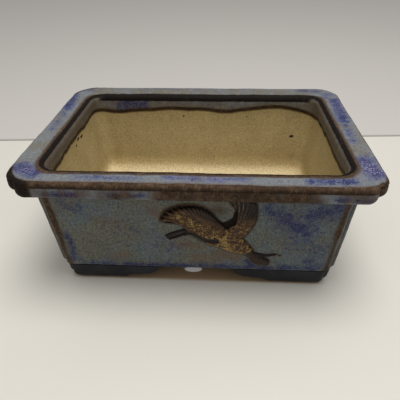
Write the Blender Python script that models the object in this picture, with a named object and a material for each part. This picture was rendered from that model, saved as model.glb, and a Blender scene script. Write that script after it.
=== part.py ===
"""Rectangular stoneware bonsai pot: slab-built, inset corners, heavy lip, cloud feet, crane relief.

Units are metres, +Z is up, +X runs along the pot's length and the front faces -Y. The origin is on the
table, under the middle of the pot. Every outline is the rim's outline moved inwards, so all the mitres lie
in the same four upright planes. A potter makes this pot from slabs, strips and pressed pieces of clay, and
each of those is an object here.
"""
import math

import bmesh
import bpy
from mathutils import Vector

MM = 0.001
JOINT_GAP = 0.3 * MM                # slip joint left open between two pieces

# Driving dimensions
RIM_LENGTH = 180.0 * MM
RIM_DEPTH = 128.0 * MM
HEIGHT = 75.0 * MM
LIP_THICKNESS = 9.5 * MM
LIP_OVERHANG = 9.2 * MM             # rim edge to wall face, under the lip
WALL_TAPER = 3.5 * MM               # how far each wall leans in from lip to base
WALL_TOP_THICKNESS = 6.3 * MM
WALL_LOW_THICKNESS = 7.6 * MM
FLOOR_THICKNESS = 7.0 * MM
BASE_HEIGHT = 11.6 * MM             # underside of the floor slab above the table
DRAIN_RADIUS = 11.0 * MM

# Inset corners: a square notch with a round nose on each side of it
LIP_NOTCH = 6.0 * MM
LIP_NOSE_RADIUS = 5.2 * MM
LIP_CREASE_RADIUS = 0.6 * MM
WALL_NOTCH = 3.6 * MM
WALL_NOSE_RADIUS = 2.2 * MM
WALL_CREASE_RADIUS = 0.5 * MM
INNER_CORNER_RADIUS = 5.0 * MM

# Lip section
BEAD_RADIUS = 3.0 * MM
LOWER_EDGE_RADIUS = 3.8 * MM
INNER_EDGE_RADIUS = 4.0 * MM
CREASE_DEPTH = 0.5 * MM
CREASE_DROP = 4.2 * MM              # crease below the top of the rim

# Floor and cove
BASE_EDGE_RADIUS = 2.0 * MM
COVE_RADIUS = 6.0 * MM

# Cloud feet
FOOT_INSET = 1.0 * MM
FOOT_WIDTH = 11.0 * MM
FOOT_EDGE_RADIUS = 2.6 * MM
FOOT_LEG_X = (32.5 * MM, 38.2 * MM, 48.8 * MM, 54.5 * MM)   # sole, ramp, ledge, ramp, from the corner
FOOT_LEG_Y = (21.0 * MM, 24.5 * MM, 31.0 * MM, 34.5 * MM)
FOOT_STEP_HEIGHTS = (0.0, 4.2 * MM, 6.2 * MM, 10.4 * MM)

# Crane relief: outline on the front wall as (x, height above the table), in millimetres
CRANE_THICKNESS = 1.8 * MM
CRANE_EDGE = 0.7 * MM
CRANE_OUTLINE = (
    (-17.0, 47.0), (-8.0, 46.8), (-3.0, 43.0), (-8.5, 42.0), (-13.0, 41.0), (-16.0, 38.5), (-12.0, 36.0),
    (-5.0, 39.0), (1.0, 38.0), (5.5, 34.0), (12.0, 31.0), (20.0, 27.5), (25.0, 27.0), (29.0, 23.0),
    (34.0, 18.5), (38.0, 17.2), (40.0, 19.5), (40.5, 22.4), (46.5, 24.5), (40.0, 26.2), (34.0, 26.8),
    (29.5, 29.5), (26.5, 33.5), (26.0, 38.0), (29.5, 43.0), (31.8, 50.0), (32.0, 56.5), (30.5, 61.5),
    (24.0, 62.5), (17.5, 61.5), (20.8, 56.0), (21.5, 51.0), (20.5, 46.0), (17.0, 43.0), (14.5, 46.5),
    (11.0, 52.5), (6.5, 57.0), (0.0, 58.8), (-6.5, 58.5), (-12.0, 56.0), (-15.5, 51.0),
)
CURVE_STEPS = 2                     # points that each stretch of the crane's outline is divided into

# Worked out from the dimensions above
RIM_A = RIM_LENGTH / 2
RIM_B = RIM_DEPTH / 2
LIP_BOTTOM = HEIGHT - LIP_THICKNESS
FLOOR_TOP = BASE_HEIGHT + FLOOR_THICKNESS
WALL_LEAN = WALL_TAPER / (LIP_BOTTOM - BASE_HEIGHT)


def wall_offset(height):
    """Distance from the rim's edge in to the wall's outer face at a height."""
    return LIP_OVERHANG + WALL_LEAN * (LIP_BOTTOM - height)


# ---------------------------------------------------------------- materials and objects

def pottery(name, colour, roughness):
    """One fired surface: a Principled material with its colour and gloss."""
    material = bpy.data.materials.new(name)
    material.use_nodes = True
    shader = material.node_tree.nodes["Principled BSDF"]
    shader.inputs["Base Color"].default_value = (*colour, 1.0)
    shader.inputs["Roughness"].default_value = roughness
    shader.inputs["Metallic"].default_value = 0.0
    material.diffuse_color = (*colour, 1.0)
    return material


def add_object(name, bm, material, location=(0, 0, 0), turn=0.0, smooth_below=35.0):
    """Turn a bmesh into a named object, with its normals facing out."""
    bmesh.ops.recalc_face_normals(bm, faces=bm.faces)
    mesh = bpy.data.meshes.new(name)
    bm.to_mesh(mesh)
    bm.free()
    mesh.materials.append(material)
    mesh.shade_smooth()
    mesh.set_sharp_from_angle(angle=math.radians(smooth_below))
    obj = bpy.data.objects.new(name, mesh)
    obj.location = location
    obj.rotation_euler = (0, 0, turn)
    bpy.context.scene.collection.objects.link(obj)
    return obj


def loft(rings):
    """Skin a list of rings of equal length and close both ends with a flat face."""
    bm = bmesh.new()
    loops = [[bm.verts.new(point) for point in ring] for ring in rings]
    count = len(loops[0])
    for low, high in zip(loops, loops[1:]):
        for i in range(count):
            j = (i + 1) % count
            bm.faces.new((low[i], low[j], high[j], high[i]))
    bm.faces.new(list(reversed(loops[0])))
    bm.faces.new(loops[-1])
    return bm


# ---------------------------------------------------------------- outlines

def arc(centre, radius, start, end, steps):
    """Points of an arc, angles in degrees."""
    points = []
    for i in range(steps + 1):
        angle = math.radians(start + (end - start) * i / steps)
        points.append((centre[0] + radius * math.cos(angle), centre[1] + radius * math.sin(angle)))
    return points


def notched_half_run(a, b, notch, nose, crease):
    """From the corner's diagonal to the straight edge at y = b, around the inset corner's nose."""
    points = arc((a - notch + crease, b - notch + crease), crease, 225, 180, 1)
    points += arc((a - notch - nose, b - nose), nose, 0, 90, 3)
    return points


def rounded_half_run(a, b, radius):
    """The same number of points around a plain round corner."""
    return arc((a - radius, b - radius), radius, 45, 90, 5)


def side_run(half, mitre_gap):
    """One side of an outline along -Y, from mitre to mitre, with the joint's gap taken off both ends."""
    right = [(x, -y) for x, y in half]
    right[0] = (right[0][0] - mitre_gap, right[0][1])
    left = [(-x, y) for x, y in right]
    return left + list(reversed(right))


def notched_outline(a, b, notch, nose, crease):
    """The whole closed outline with four inset corners."""
    quarter = notched_half_run(a, b, notch, nose, crease)
    other = [(y - b + a, x - a + b) for x, y in quarter[1:]]
    corner = list(reversed(other)) + quarter
    points = list(corner)
    points += [(-x, y) for x, y in reversed(corner)]
    points += [(-x, -y) for x, y in corner]
    points += [(x, -y) for x, y in reversed(corner)]
    return points


# ---------------------------------------------------------------- lip and walls

def lip_half_runs(a, b):
    """Half runs of the lip's section for a side: (points, height), all the way round the section."""
    def outer(inset, height):
        run = notched_half_run(a - inset, b - inset, LIP_NOTCH, LIP_NOSE_RADIUS - inset,
                               LIP_CREASE_RADIUS + inset)
        return run, height

    def inner(inset, height, radius):
        return rounded_half_run(a - inset, b - inset, radius), height

    section = []
    for x, z in arc((LOWER_EDGE_RADIUS, LIP_BOTTOM + LOWER_EDGE_RADIUS), LOWER_EDGE_RADIUS, 270, 180, 3):
        section.append(outer(x, z))
    section.append(outer(CREASE_DEPTH, HEIGHT - CREASE_DROP))
    for x, z in arc((BEAD_RADIUS, HEIGHT - BEAD_RADIUS), BEAD_RADIUS, 180, 90, 3):
        section.append(outer(x, z))
    face = LIP_OVERHANG + WALL_TOP_THICKNESS
    centre = (face - INNER_EDGE_RADIUS, HEIGHT - INNER_EDGE_RADIUS)
    for x, z in arc(centre, INNER_EDGE_RADIUS, 90, 0, 3):
        section.append(inner(x, z, INNER_CORNER_RADIUS + face - x))
    section.append(inner(face, LIP_BOTTOM, INNER_CORNER_RADIUS))
    return section


def wall_half_runs(a, b):
    """Half runs of a wall's section: leaning outer face, thicker foot, and a cove on to the floor."""
    def outer(height):
        inset = wall_offset(height)
        run = notched_half_run(a - inset, b - inset, WALL_NOTCH, WALL_NOSE_RADIUS, WALL_CREASE_RADIUS)
        return run, height

    def inner(inset, height):
        return rounded_half_run(a - inset, b - inset, INNER_CORNER_RADIUS), height

    bottom = FLOOR_TOP + JOINT_GAP
    top = LIP_BOTTOM - JOINT_GAP
    cove_top = bottom + COVE_RADIUS
    low_face = wall_offset(cove_top) + WALL_LOW_THICKNESS
    section = [outer(bottom), outer(top), inner(LIP_OVERHANG + WALL_TOP_THICKNESS, top)]
    for x, z in arc((low_face + COVE_RADIUS, cove_top), COVE_RADIUS, 180, 270, 4):
        section.append(inner(x, z))
    return section


def strip(half_runs):
    """Sweep a closed section along one side of the pot, with mitred ends."""
    gap = JOINT_GAP / math.sqrt(2)
    rows = [[(x, y, height) for x, y in side_run(half, gap)] for half, height in half_runs]
    stations = [[row[i] for row in rows] for i in range(len(rows[0]))]
    return loft(stations)


def add_sides(prefix, section, material):
    """The four mitred sides of the lip or of the walls, each an object of its own."""
    for side, turn, a, b in (("front", 0, RIM_A, RIM_B), ("right", 90, RIM_B, RIM_A),
                             ("back", 180, RIM_A, RIM_B), ("left", 270, RIM_B, RIM_A)):
        name = f"{prefix}_{side}"
        add_object(name, strip(section(a, b)), material(name), turn=math.radians(turn))


# ---------------------------------------------------------------- floor slab

def floor_ring(inset, height):
    outline = notched_outline(RIM_A - inset, RIM_B - inset, WALL_NOTCH, WALL_NOSE_RADIUS, WALL_CREASE_RADIUS)
    return [(x, y, height) for x, y in outline]


def add_floor():
    """Floor slab with a rounded lower edge and one round drainage hole in the middle."""
    rings = []
    for x, z in arc((BASE_EDGE_RADIUS, BASE_HEIGHT + BASE_EDGE_RADIUS), BASE_EDGE_RADIUS, 270, 180, 3):
        rings.append(floor_ring(wall_offset(z) + x * 0.999, z))
    rings.append(floor_ring(wall_offset(FLOOR_TOP), FLOOR_TOP))
    slab = add_object("floor_slab", loft(rings), pottery("floor_slab", (0.42, 0.33, 0.19), 0.8))

    bm = bmesh.new()
    bmesh.ops.create_cone(bm, cap_ends=True, segments=32, radius1=DRAIN_RADIUS, radius2=DRAIN_RADIUS,
                          depth=3 * FLOOR_THICKNESS)
    cutter = add_object("drain_cutter", bm, pottery("drain_cutter", (0.5, 0.5, 0.5), 0.5),
                        location=(0, 0, BASE_HEIGHT + FLOOR_THICKNESS / 2))
    cutter.hide_render = True
    cutter.display_type = "WIRE"
    cut = slab.modifiers.new("drain", "BOOLEAN")
    cut.operation = "DIFFERENCE"
    cut.solver = "EXACT"
    cut.object = cutter


# ---------------------------------------------------------------- feet

def foot_ring(inset, reach_x, reach_y, height):
    """L-shaped plan of a foot in the +X +Y corner, measured from that corner, at one height."""
    nose = WALL_NOSE_RADIUS
    crease = WALL_CREASE_RADIUS + inset
    quarter = notched_half_run(-inset, -inset, WALL_NOTCH, nose, crease)
    other = [(y, x) for x, y in quarter[1:]]
    inner = FOOT_WIDTH - inset
    points = [(-inset, -reach_y)] + list(reversed(other)) + quarter + [(-reach_x, -inset)]
    points += [(-reach_x, -inner), (-inner, -inner), (-inner, -reach_y)]
    return [(x, y, height) for x, y in points]


def add_feet():
    """Four bracket feet: a flat sole under the corner, then a ramp, a ledge and a ramp up to the base."""
    base = wall_offset(BASE_HEIGHT) + FOOT_INSET
    corner_x = RIM_A - base
    corner_y = RIM_B - base
    sole, ramp, ledge, end = zip(FOOT_LEG_X, FOOT_LEG_Y, FOOT_STEP_HEIGHTS)
    edge = FOOT_EDGE_RADIUS
    for x, y, name in ((-1, -1, "foot_front_left"), (1, -1, "foot_front_right"),
                       (-1, 1, "foot_back_left"), (1, 1, "foot_back_right")):
        rings = []
        for inset, height in arc((edge, edge), edge, 270, 180, 3):
            slope = height / ramp[2]
            reach = [s + (r - s) * slope for s, r in zip(sole[:2], ramp[:2])]
            rings.append(foot_ring(inset, reach[0], reach[1], height))
        for step in (ramp, ledge, end):
            rings.append(foot_ring(0.0, *step))
        rings.append(foot_ring(0.0, end[0], end[1], BASE_HEIGHT - JOINT_GAP))
        placed = [[(px * x, py * y, pz) for px, py, pz in ring] for ring in rings]
        add_object(name, loft(placed), pottery(name, (0.035, 0.037, 0.045), 0.75),
                   location=(corner_x * x, corner_y * y, 0))


# ---------------------------------------------------------------- crane relief

def smooth_closed(points, steps):
    """Catmull-Rom curve through a closed outline."""
    curve = []
    count = len(points)
    for i in range(count):
        before, start, end, after = (Vector(points[(i + k) % count]) for k in (-1, 0, 1, 2))
        for step in range(steps):
            t = step / steps
            curve.append(0.5 * ((2 * start) + (end - before) * t
                                + (2 * before - 5 * start + 4 * end - after) * t ** 2
                                + (3 * start - before - 3 * end + after) * t ** 3))
    return curve


def moved_in(outline, distance):
    """Each point of a counter-clockwise outline moved inwards, square to its neighbours' chord."""
    count = len(outline)
    moved = []
    for i, point in enumerate(outline):
        chord = (outline[(i + 1) % count] - outline[i - 1]).normalized()
        moved.append(point + Vector((-chord.y, chord.x)) * distance)
    return moved


def add_crane():
    """Flying crane pressed in a mould and luted to the front wall, with an eased front edge."""
    outline = smooth_closed([(x * MM, z * MM) for x, z in CRANE_OUTLINE], CURVE_STEPS)
    inside = moved_in(outline, CRANE_EDGE)

    def ring(points, stand_off):
        return [(p.x, -(RIM_B - wall_offset(p.y)) - JOINT_GAP - stand_off, p.y) for p in points]

    rings = [ring(outline, 0.0), ring(outline, CRANE_THICKNESS - CRANE_EDGE), ring(inside, CRANE_THICKNESS)]
    add_object("crane_relief", loft(rings), pottery("crane_relief", (0.20, 0.11, 0.04), 0.45))


# ---------------------------------------------------------------- the pot

def main():
    for old in list(bpy.data.objects):
        bpy.data.objects.remove(old, do_unlink=True)
    add_floor()
    add_sides("wall", wall_half_runs, lambda name: pottery(name, (0.16, 0.19, 0.22), 0.35))
    add_sides("lip", lip_half_runs, lambda name: pottery(name, (0.17, 0.19, 0.27), 0.3))
    add_feet()
    add_crane()


main()
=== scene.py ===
"""Looks of the glazed bonsai pot: lip, walls, clay body, bracket feet and a flying crane in relief.

Units are metres, +Z is up and the front faces -Y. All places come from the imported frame.
"""
import math

import bmesh
import bpy
import numpy as np
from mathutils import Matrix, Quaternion, Vector, noise


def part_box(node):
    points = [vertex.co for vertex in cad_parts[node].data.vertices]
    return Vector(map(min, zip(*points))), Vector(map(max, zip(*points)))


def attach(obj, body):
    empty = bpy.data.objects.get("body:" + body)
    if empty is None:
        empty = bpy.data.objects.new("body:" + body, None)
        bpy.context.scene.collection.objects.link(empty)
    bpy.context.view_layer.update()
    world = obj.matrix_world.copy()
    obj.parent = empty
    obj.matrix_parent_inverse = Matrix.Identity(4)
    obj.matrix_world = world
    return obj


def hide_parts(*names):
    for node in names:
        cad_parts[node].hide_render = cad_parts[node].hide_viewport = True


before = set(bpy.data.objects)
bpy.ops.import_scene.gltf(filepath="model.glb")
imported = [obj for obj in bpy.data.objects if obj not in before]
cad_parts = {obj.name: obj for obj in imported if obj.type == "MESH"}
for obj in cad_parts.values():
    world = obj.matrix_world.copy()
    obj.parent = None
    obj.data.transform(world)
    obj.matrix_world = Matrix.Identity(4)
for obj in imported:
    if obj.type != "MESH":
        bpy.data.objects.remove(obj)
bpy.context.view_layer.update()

MM = 0.001

# Sizes read from the frame
RIM_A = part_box("lip_right")[1].x
RIM_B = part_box("lip_back")[1].y
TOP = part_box("lip_front")[1].z
LIP_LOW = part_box("lip_front")[0].z
BASE_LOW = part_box("floor_slab")[0].z
FLOOR_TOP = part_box("floor_slab")[1].z
WALL_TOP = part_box("wall_right")[1].z
TOP_INSET = RIM_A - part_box("wall_right")[1].x
FLOOR_INSET = RIM_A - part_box("floor_slab")[1].x
WALL_LEAN = (FLOOR_INSET - TOP_INSET) / (WALL_TOP - FLOOR_TOP)
FOOT_LOW, FOOT_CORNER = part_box("foot_back_right")
FOOT_TOP = FOOT_CORNER.z
FOOT_REACH_X = FOOT_CORNER.x - FOOT_LOW.x
FOOT_REACH_Y = FOOT_CORNER.y - FOOT_LOW.y

# Outline of the inset corners: a square notch with a round nose on each side
LIP_CORNER = (6 * MM, 5.2 * MM, 0.6 * MM)
WALL_CORNER = (3.6 * MM, 2.2 * MM, 0.5 * MM)
INNER_CORNER = 6 * MM
OPENING_CORNER = 8 * MM
FILLED_CORNER = 14 * MM           # radius of a corner whose notch glaze has filled
NOTCH_FILL = 0.90                   # how far glaze has filled the notches at the top of the bead

# Lip section, as distances in from the rim's edge
BEAD_RADIUS = 1.9 * MM
BEAD_WIDTH = 5.4 * MM
BEAD_RISE = 0.35 * MM               # how far the bead stands above the lip's flat
LOWER_EDGE = 3.8 * MM
BEHIND_WALL = 1 * MM              # how far the lip's underside runs in past the wall's face
CREASE_DROP = 2.35 * MM
CREASE_WIDTH = 0.6 * MM
CREASE_DEPTH = 0.30 * MM
INNER_FACE = 15.5 * MM
INNER_EDGE = 4 * MM
FLAT_END = INNER_FACE - INNER_EDGE
GLAZE_THICKNESS = 0.35 * MM
GLAZE_LINE = 64.2 * MM              # height at which the glaze ends inside
BEHIND_GLAZE = 5 * MM             # how far the clay runs up behind the glaze

# Walls and floor
BASE_EDGE = 2 * MM
LOW_WALL = 7.6 * MM                 # thickness just above the cove
COVE = 6 * MM
DRAIN_RADIUS = 11 * MM
DRAIN_EDGE = 1.2 * MM

STEP = 0.9 * MM                     # distance between neighbouring points of the lofts
CORNER_STEPS = (3, 10)              # points along the crease and along the nose


def wall_inset(z):
    """Distance from the rim's edge in to the wall's outer face at a height."""
    return FLOOR_INSET - WALL_LEAN * (z - FLOOR_TOP)


# ---- small maths

def smooth(value, low, high):
    """Smooth step from 0 at low to 1 at high, for numbers or arrays. Low may be the larger."""
    t = np.clip((np.asarray(value, float) - low) / (high - low), 0.0, 1.0)
    return t * t * (3.0 - 2.0 * t)


def hump(value, middle, width):
    """Bell curve: 1 at the middle, falling off over a width on both sides."""
    return np.exp(-(((value - middle) / width) ** 2))


def fractal(points, size, seed, octaves=3):
    """Fractal noise, about -1 to 1, with features of a given size at each of the points."""
    shift = Vector((seed * 17.3, seed * 5.7, seed * 11.1))
    return np.array([noise.fractal(Vector(p) / size + shift, 1.0, 2.0, octaves) for p in points])


def arc(centre, radius, start, end, steps):
    """Points of an arc as an array, angles in degrees."""
    angles = np.radians(np.linspace(start, end, steps + 1))
    return np.column_stack((centre[0] + radius * np.cos(angles), centre[1] + radius * np.sin(angles)))


# ---- outlines

SIDE_STEPS_X = round(RIM_A / STEP)
SIDE_STEPS_Y = round(RIM_B / STEP)


def path(xs, ys):
    """Points from coordinates, either of which may be one number for all."""
    return np.column_stack(np.broadcast_arrays(xs, ys))


def half_run(corner_points, side_steps):
    """Corner points followed by an even run along the straight edge to its middle."""
    start = corner_points[-1]
    side = path(np.linspace(start[0], 0.0, side_steps + 1)[1:], start[1])
    return np.vstack((corner_points, side))


def notched_corner(a, b, corner, inset):
    notch, nose, crease = corner
    nose = max(nose - inset, 0.3 * MM)
    crease = crease + inset
    a, b = a - inset, b - inset
    deep = arc((a - notch + crease, b - notch + crease), crease, 225, 180, CORNER_STEPS[0])
    round_part = arc((a - notch - nose, b - nose), nose, 0, 90, CORNER_STEPS[1])
    return np.vstack((deep, round_part))


def round_corner(a, b, radius, inset):
    a, b = a - inset, b - inset
    return arc((a - radius, b - radius), radius, 45, 90, sum(CORNER_STEPS) + 1)


def whole_outline(corner_function):
    """Closed outline, counter-clockwise from (a, 0), from a function of (a, b) for half a corner."""
    to_back = half_run(corner_function(RIM_A, RIM_B), SIDE_STEPS_X)
    to_side = half_run(corner_function(RIM_B, RIM_A), SIDE_STEPS_Y)[:, ::-1]
    quarter = np.vstack((to_side[::-1], to_back[1:]))
    left = quarter[::-1] * (-1, 1)
    parts = (quarter, left, quarter * -1, left * -1)
    return np.vstack([part[:-1] for part in parts])


def lip_outline(inset):
    return whole_outline(lambda a, b: notched_corner(a, b, LIP_CORNER, inset))


def wall_outline(inset):
    """The same corner at every height, moved in by the inset."""
    return whole_outline(lambda a, b: notched_corner(a - inset, b - inset, WALL_CORNER, 0.0))


def rounded(inset, radius):
    return whole_outline(lambda a, b: round_corner(a, b, radius, inset))


def at_height(outline, z):
    """Outline points lifted to a height, which may differ from point to point."""
    return np.column_stack((outline, np.broadcast_to(z, len(outline))))


class Rings:
    """Rings of a loft, with each ring's nominal distance in from the rim's edge and height."""

    def __init__(self):
        self.points = []
        self.section = []

    def add(self, outline, inset, z):
        self.points.append(at_height(outline, z))
        self.section.append((inset, float(np.mean(z))))

    def nominal(self):
        """Inset and height of each point's ring."""
        return np.repeat(np.array(self.section), len(self.points[0]), axis=0).T


# ---- mesh building

def new_object(name, data):
    obj = bpy.data.objects.new(name, data)
    bpy.context.scene.collection.objects.link(obj)
    return obj


def object_from(name, verts, faces, material, attributes=()):
    mesh = bpy.data.meshes.new(name)
    mesh.from_pydata([tuple(v) for v in verts], [], [tuple(int(i) for i in f) for f in faces])
    mesh.materials.append(material)
    mesh.shade_smooth()
    for key, values in dict(attributes).items():
        layer = mesh.attributes.new(key, "FLOAT", "POINT")
        layer.data.foreach_set("value", np.asarray(values, np.float32))
    return new_object(name, mesh)


def ring_faces(rows, columns):
    """Quads between neighbouring rows of a loft whose rows are closed rings."""
    r, c = np.meshgrid(np.arange(rows - 1), np.arange(columns), indexing="ij")
    n = (c + 1) % columns
    quads = (r * columns + c, r * columns + n, (r + 1) * columns + n, (r + 1) * columns + c)
    return np.stack(quads, axis=-1).reshape(-1, 4)


def loft_normals(rings):
    """Normals of a loft from its neighbouring points."""
    along = np.roll(rings, -1, axis=1) - np.roll(rings, 1, axis=1)
    across = np.gradient(rings, axis=0)
    normals = np.cross(along, across)
    return normals / np.maximum(np.linalg.norm(normals, axis=-1, keepdims=True), 1e-12)


def lofted(name, rings, material, bumps, attributes):
    """Loft closed rings, push the surface in and out by the bumps, and store the attributes."""
    grid = np.array(rings.points)
    flat = grid.reshape(-1, 3)
    moved = flat + loft_normals(grid).reshape(-1, 3) * bumps(flat).reshape(-1, 1)
    faces = ring_faces(*grid.shape[:2])
    return object_from(name, moved, faces, material, attributes(flat, *rings.nominal()))


def placed(obj, slot, *nodes):
    """Hang a piece on the root body and hide the frame's parts that it replaces; the slot is not used."""
    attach(obj, "root")
    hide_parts(*nodes)


# ---- node materials

class Graph:
    """A material with one Principled shader, and short calls for the nodes that drive it."""

    def __init__(self, name, roughness, gloss=0.5):
        self.material = bpy.data.materials.new(name)
        self.material.use_nodes = True
        self.tree = self.material.node_tree
        self.shader = self.tree.nodes["Principled BSDF"]
        self.shader.inputs["Roughness"].default_value = roughness
        self.shader.inputs["Specular IOR Level"].default_value = gloss
        self.place = self.node("TexCoord").outputs["Object"]

    def node(self, kind):
        return self.tree.nodes.new("ShaderNode" + kind)

    def put(self, socket, value):
        if isinstance(value, bpy.types.NodeSocket):
            self.tree.links.new(value, socket)
        elif isinstance(value, tuple):
            socket.default_value = (*value, 1.0)
        else:
            socket.default_value = value

    def attribute(self, name):
        node = self.node("Attribute")
        node.attribute_name = name
        return node.outputs["Fac"]

    def moved(self, shift, stretch):
        """The object's own coordinates, stretched and moved."""
        node = self.node("Mapping")
        node.inputs["Location"].default_value = shift
        node.inputs["Scale"].default_value = stretch
        self.put(node.inputs["Vector"], self.place)
        return node.outputs["Vector"]

    def noise(self, size, detail=3.0, rough=0.6, seed=0.0, stretch=(1, 1, 1)):
        """Noise with features of a size in metres."""
        place = self.moved((seed * 0.37, seed * 0.21, seed * 0.53), stretch)
        node = self.node("TexNoise")
        node.inputs["Scale"].default_value = 1.0 / size
        node.inputs["Detail"].default_value = detail
        node.inputs["Roughness"].default_value = rough
        self.put(node.inputs["Vector"], place)
        return node.outputs[0]

    def specks(self, spacing, radius, chance, seed=0.0):
        """Sparse round specks: 1 inside a speck."""
        place = self.moved((seed, seed * 0.7, seed * 0.3), (1, 1, 1))
        cells = self.node("TexVoronoi")
        cells.inputs["Scale"].default_value = 1.0 / spacing
        self.put(cells.inputs["Vector"], place)
        parts = self.node("SeparateColor")
        self.put(parts.inputs[0], cells.outputs["Color"])
        dot = self.ramp(cells.outputs["Distance"], radius / spacing, 0.5 * radius / spacing)
        return self.maths("MULTIPLY", dot, self.ramp(parts.outputs[0], chance, chance * 0.7))

    def maths(self, operation, first, second=0.0, third=0.0):
        node = self.node("Math")
        node.operation = operation
        for socket, value in zip(node.inputs, (first, second, third)):
            self.put(socket, value)
        return node.outputs[0]

    def ramp(self, value, low, high):
        """0 at low and 1 at high, smoothly."""
        node = self.node("MapRange")
        node.interpolation_type = "SMOOTHSTEP"
        ends = {"From Min": min(low, high), "From Max": max(low, high),
                "To Min": float(low > high), "To Max": float(low <= high)}
        for key, end in ends.items():
            node.inputs[key].default_value = end
        self.put(node.inputs["Value"], value)
        return node.outputs[0]

    def span(self, value, low, high):
        """Linear map from 0..1 to low..high."""
        return self.maths("MULTIPLY_ADD", value, high - low, low)

    def grey(self, value):
        """A colour with all three channels at a value."""
        node = self.node("CombineColor")
        for socket in node.inputs:
            self.put(socket, value)
        return node.outputs[0]

    def mix(self, factor, first, second, blend="MIX"):
        node = self.node("Mix")
        node.data_type = "RGBA"
        node.blend_type = blend
        self.put(node.inputs[0], factor)
        self.put(node.inputs[6], first)
        self.put(node.inputs[7], second)
        return node.outputs[2]

    def tint(self, colour, mask, share, other):
        """A colour with a share of another one laid over it where a mask is 1."""
        return self.mix(self.maths("MULTIPLY", mask, share), colour, other)

    def varied(self, value, grain, amount):
        """A value moved up and down by a noise."""
        return self.maths("MULTIPLY_ADD", self.maths("SUBTRACT", grain, 0.5), amount, value)

    def broken(self, mask, grain, amount, low, high):
        """A mask whose edge is broken up by a noise."""
        return self.ramp(self.varied(mask, grain, amount), low, high)

    def finish(self, colour, roughness, *bumps):
        """Link the colour and roughness, and stack bumps given as (height, strength, distance)."""
        self.put(self.shader.inputs["Base Color"], colour)
        self.put(self.shader.inputs["Roughness"], roughness)
        normal = None
        for height, strength, distance in bumps:
            node = self.node("Bump")
            node.inputs["Strength"].default_value = strength
            node.inputs["Distance"].default_value = distance
            self.put(node.inputs["Height"], height)
            if normal is not None:
                self.put(node.inputs["Normal"], normal)
            normal = node.outputs["Normal"]
        if normal is not None:
            self.put(self.shader.inputs["Normal"], normal)
        return self.material


COBALT = (0.058, 0.082, 0.232)
NAVY = (0.018, 0.020, 0.075)
LILAC = (0.380, 0.330, 0.540)
IRON = (0.044, 0.025, 0.014)
# Rust colour, also used for a painted highlight on the lip's bead
RUST_AND_HIGHLIGHT = (0.135, 0.088, 0.056)
# Black iron glaze, also the colour of painted shade
BLACK_IRON_AND_SHADE = (0.006, 0.003, 0.002)
LIP_GLAZE = {"olive": (0.165, 0.157, 0.130), "blue_grey": (0.175, 0.190, 0.205), "cobalt": COBALT,
             "contrast": 1.8}
# The walls' glaze is darker than the lip's, partly its own tone and partly painted shade on the walls.
WALL_GLAZE = {"olive": (0.128, 0.128, 0.102), "blue_grey": (0.112, 0.137, 0.146),
              "cobalt": (0.034, 0.044, 0.128), "contrast": 2.7}


def glaze_material(name, olive, blue_grey, cobalt, contrast):
    """Runny blue-grey glaze: mottled ground, stippled cobalt, lilac flecks, iron brown where it breaks,
    with painted black shade and a painted rust-coloured highlight where the attributes ask.
    """
    g = Graph(name, 0.35, gloss=0.13)
    grain = g.noise(1 * MM, 3.0, 0.75, seed=1.0)
    dots = g.noise(0.85 * MM, 2.0, 0.7, seed=2.0)
    mottle = g.noise(3.6 * MM, 4.0, 0.65, seed=3.0)
    cloud = g.noise(15 * MM, 3.0, 0.55, seed=4.0)
    fur = g.noise(0.9 * MM, 4.0, 0.7, seed=13.0, stretch=(1, 0.5, 0.4))

    ground = g.mix(g.ramp(g.maths("ADD", cloud, g.attribute("blue")), 0.42, 0.70), olive, blue_grey)
    shade = g.varied(1.0, grain, contrast)
    shade = g.varied(shade, fur, contrast * 0.5)
    ground = g.mix(1.0, ground, g.grey(shade), "MULTIPLY")
    # Rust patches, and on the lip a painted highlight along the front bead.
    rust_and_highlight = g.broken(g.attribute("rust_and_highlight"), mottle, 0.9, 0.3, 0.9)
    ground = g.tint(ground, rust_and_highlight, 0.65, RUST_AND_HIGHLIGHT)

    pool = g.varied(g.attribute("cobalt"), mottle, 1.6)
    stipple = g.maths("MULTIPLY_ADD", pool, 0.30, dots)
    colour = g.tint(ground, g.ramp(stipple, 0.58, 0.80), 0.85, cobalt)
    depths = g.maths("MULTIPLY_ADD", pool, 0.24, grain)
    colour = g.tint(colour, g.ramp(depths, 0.66, 0.76), 0.85, NAVY)
    fleck = g.maths("MULTIPLY", g.attribute("lilac"), g.ramp(dots, 0.52, 0.60))
    colour = g.mix(fleck, colour, LILAC)

    edge = g.maths("MULTIPLY", g.maths("ADD", fur, mottle), 0.5)
    brown = g.broken(g.attribute("brown"), edge, 1.2, 0.15, 0.8)
    iron_and_shade = g.tint(IRON, g.ramp(edge, 0.44, 0.62), 0.75, RUST_AND_HIGHLIGHT)
    # Black iron glaze, and painted shade where the black mask holds it.
    iron_and_shade = g.mix(g.broken(g.attribute("black"), grain, 0.5, 0.1, 0.8), iron_and_shade, BLACK_IRON_AND_SHADE)
    colour = g.mix(brown, colour, iron_and_shade)
    speck = g.specks(4.5 * MM, 0.6 * MM, 0.55, seed=0.4)
    colour = g.tint(colour, speck, 0.9, BLACK_IRON_AND_SHADE)

    rough = g.maths("ADD", g.span(grain, 0.28, 0.48), g.maths("MULTIPLY", brown, 0.3))
    return g.finish(colour, rough, (grain, 0.12, 0.15 * MM), (mottle, 0.35, 0.5 * MM))


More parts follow.
